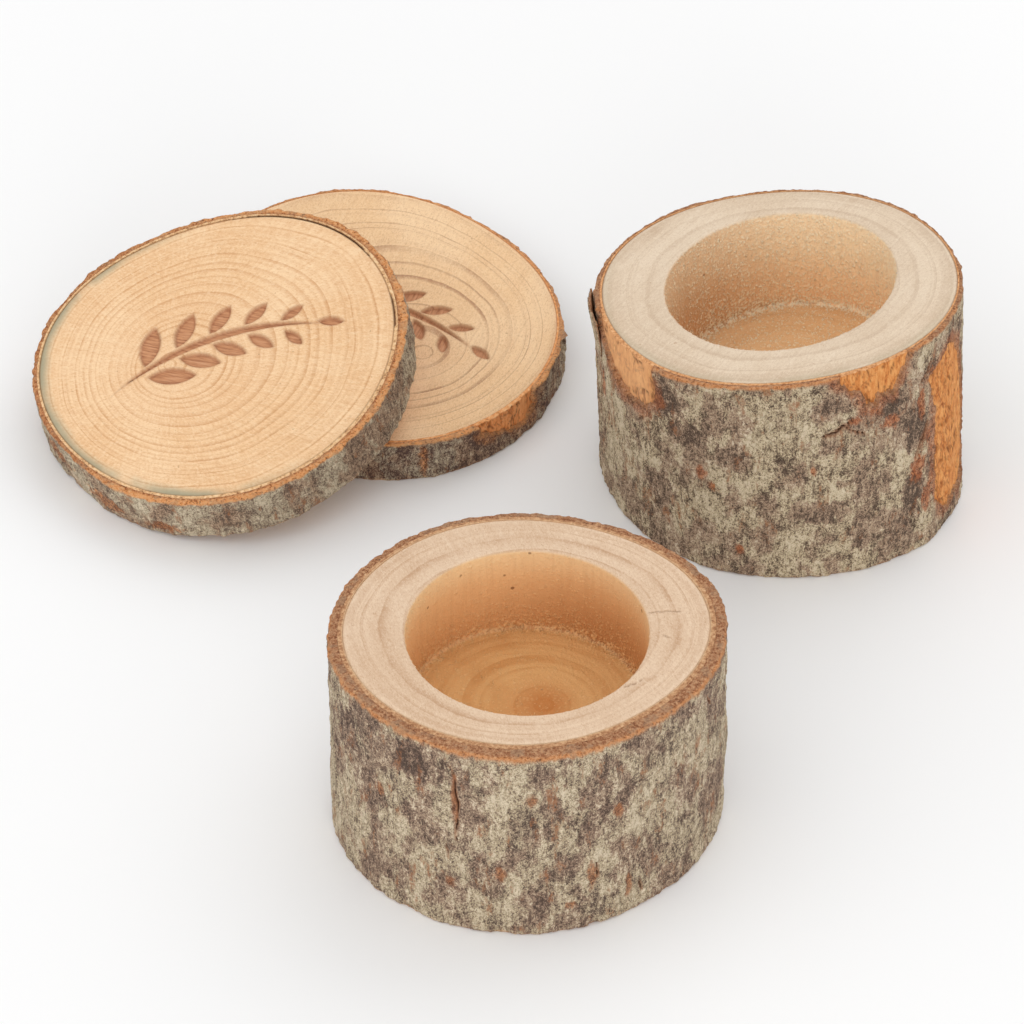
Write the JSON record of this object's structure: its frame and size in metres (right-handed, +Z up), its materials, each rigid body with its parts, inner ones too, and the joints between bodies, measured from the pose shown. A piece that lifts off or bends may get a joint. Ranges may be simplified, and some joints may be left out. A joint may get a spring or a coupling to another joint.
{
  "type": "tealight holder",
  "caption": "Set of rustic tealight holders: short slices of branch with bark on, each bored with a round pocket for a tealight, with their sawn engraved lid discs lying beside them.",
  "frame": {"origin": "centre of the front holder's base, on the table", "axes": "+Z up along the front holder's pocket, +Y from the front holder towards the lids and the rear holder, +X to the right"},
  "size_m": [0.1621, 0.1843, 0.046],
  "materials": {
    "holder_wood": "raw sawn end grain, matte",
    "lid_wood": "raw sawn end grain with burnt engraving, matte",
    "inner_bark": "fibrous, matte",
    "outer_bark": "rough bark with lichen, matte"
  },
  "bodies": {
    "front_holder": {"front_holder_wood": "holder_wood", "front_holder_inner_bark": "inner_bark", "front_holder_outer_bark": "outer_bark"},
    "rear_holder": {"rear_holder_wood": "holder_wood", "rear_holder_inner_bark": "inner_bark", "rear_holder_outer_bark": "outer_bark", "rear_holder_bark_flake": "outer_bark"},
    "flat_lid": {"flat_lid_wood": "lid_wood", "flat_lid_inner_bark": "inner_bark", "flat_lid_outer_bark": "outer_bark", "flat_lid_bark_splinter": "outer_bark"},
    "leaning_lid": {"leaning_lid_wood": "lid_wood", "leaning_lid_inner_bark": "inner_bark", "leaning_lid_outer_bark": "outer_bark"}
  },
  "joints": [
    {"name": "rear_holder_lift", "type": "slide", "parent": "front_holder", "child": "rear_holder", "axis": [0, 0, 1], "range_m": [0, 0.06]},
    {"name": "flat_lid_lift", "type": "slide", "parent": "front_holder", "child": "flat_lid", "axis": [0, 0, 1], "range_m": [0, 0.06]},
    {"name": "leaning_lid_lift", "type": "slide", "parent": "flat_lid", "child": "leaning_lid", "axis": [0, 0, 1], "range_m": [0, 0.06]}
  ]
}
